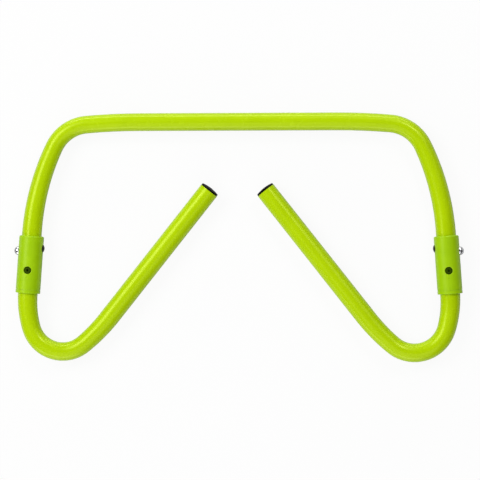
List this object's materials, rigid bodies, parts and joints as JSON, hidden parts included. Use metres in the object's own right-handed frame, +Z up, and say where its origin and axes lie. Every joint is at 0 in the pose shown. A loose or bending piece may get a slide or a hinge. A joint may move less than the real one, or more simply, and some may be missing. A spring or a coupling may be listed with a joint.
{
  "type": "speed hurdle",
  "caption": "Low folding training hurdle of bent plastic tube: a wide U frame whose J-shaped feet swivel in snap-button sleeves, shown folded flat.",
  "frame": {"origin": "on the floor, in the middle of the folded hurdle's outline", "axes": "+X along the crossbar, +Y from the feet towards the crossbar, +Z up from the floor it lies on"},
  "size_m": [0.4554, 0.2514, 0.025],
  "materials": {
    "tube_green": "glossy lime green",
    "sleeve_green": "satin moulded lime green",
    "bright_steel": "polished nickel plate",
    "dark_steel": "black oxide",
    "screw_olive": "dark olive lacquer",
    "spring_steel": "spring strip",
    "cap_black": "moulded black",
    "ring_rubber": "black"
  },
  "bodies": {
    "frame": {"frame_tube": "tube_green", "left_sleeve": "sleeve_green", "left_guide_screw": "screw_olive", "left_friction_ring": "ring_rubber", "left_clip_spring": "spring_steel", "right_sleeve": "sleeve_green", "right_guide_screw": "screw_olive", "right_friction_ring": "ring_rubber", "right_clip_spring": "spring_steel"},
    "left_foot": {"left_foot_tube": "tube_green", "left_foot_cap": "cap_black"},
    "left_outer_button": {"left_outer_button": "bright_steel"},
    "left_inner_button": {"left_inner_button": "dark_steel"},
    "right_foot": {"right_foot_tube": "tube_green", "right_foot_cap": "cap_black"},
    "right_outer_button": {"right_outer_button": "bright_steel"},
    "right_inner_button": {"right_inner_button": "dark_steel"}
  },
  "joints": [
    {"name": "left_foot_swivel", "type": "hinge", "parent": "frame", "child": "left_foot", "pos_m": [-0.214, -0.05683, 0.0125], "axis": [-0.0698, -0.9976, 0], "range_deg": [0, 90]},
    {"name": "left_outer_press", "type": "slide", "parent": "frame", "child": "left_outer_button", "axis": [0.9976, -0.0698, 0], "range_m": [0, 0.006], "stiffness_N_per_m": 1500, "springref_m": -0.003, "deforming": ["left_clip_spring"]},
    {"name": "left_inner_press", "type": "slide", "parent": "frame", "child": "left_inner_button", "axis": [-0.9976, 0.0698, 0], "range_m": [0, 0.004], "stiffness_N_per_m": 1500, "springref_m": -0.003, "deforming": ["left_clip_spring"]},
    {"name": "right_foot_swivel", "type": "hinge", "parent": "frame", "child": "right_foot", "pos_m": [0.214, -0.05683, 0.0125], "axis": [-0.0698, 0.9976, 0], "range_deg": [0, 90]},
    {"name": "right_outer_press", "type": "slide", "parent": "frame", "child": "right_outer_button", "axis": [-0.9976, -0.0698, 0], "range_m": [0, 0.006], "stiffness_N_per_m": 1500, "springref_m": -0.003, "deforming": ["right_clip_spring"]},
    {"name": "right_inner_press", "type": "slide", "parent": "frame", "child": "right_inner_button", "axis": [0.9976, 0.0698, 0], "range_m": [0, 0.004], "stiffness_N_per_m": 1500, "springref_m": -0.003, "deforming": ["right_clip_spring"]}
  ]
}
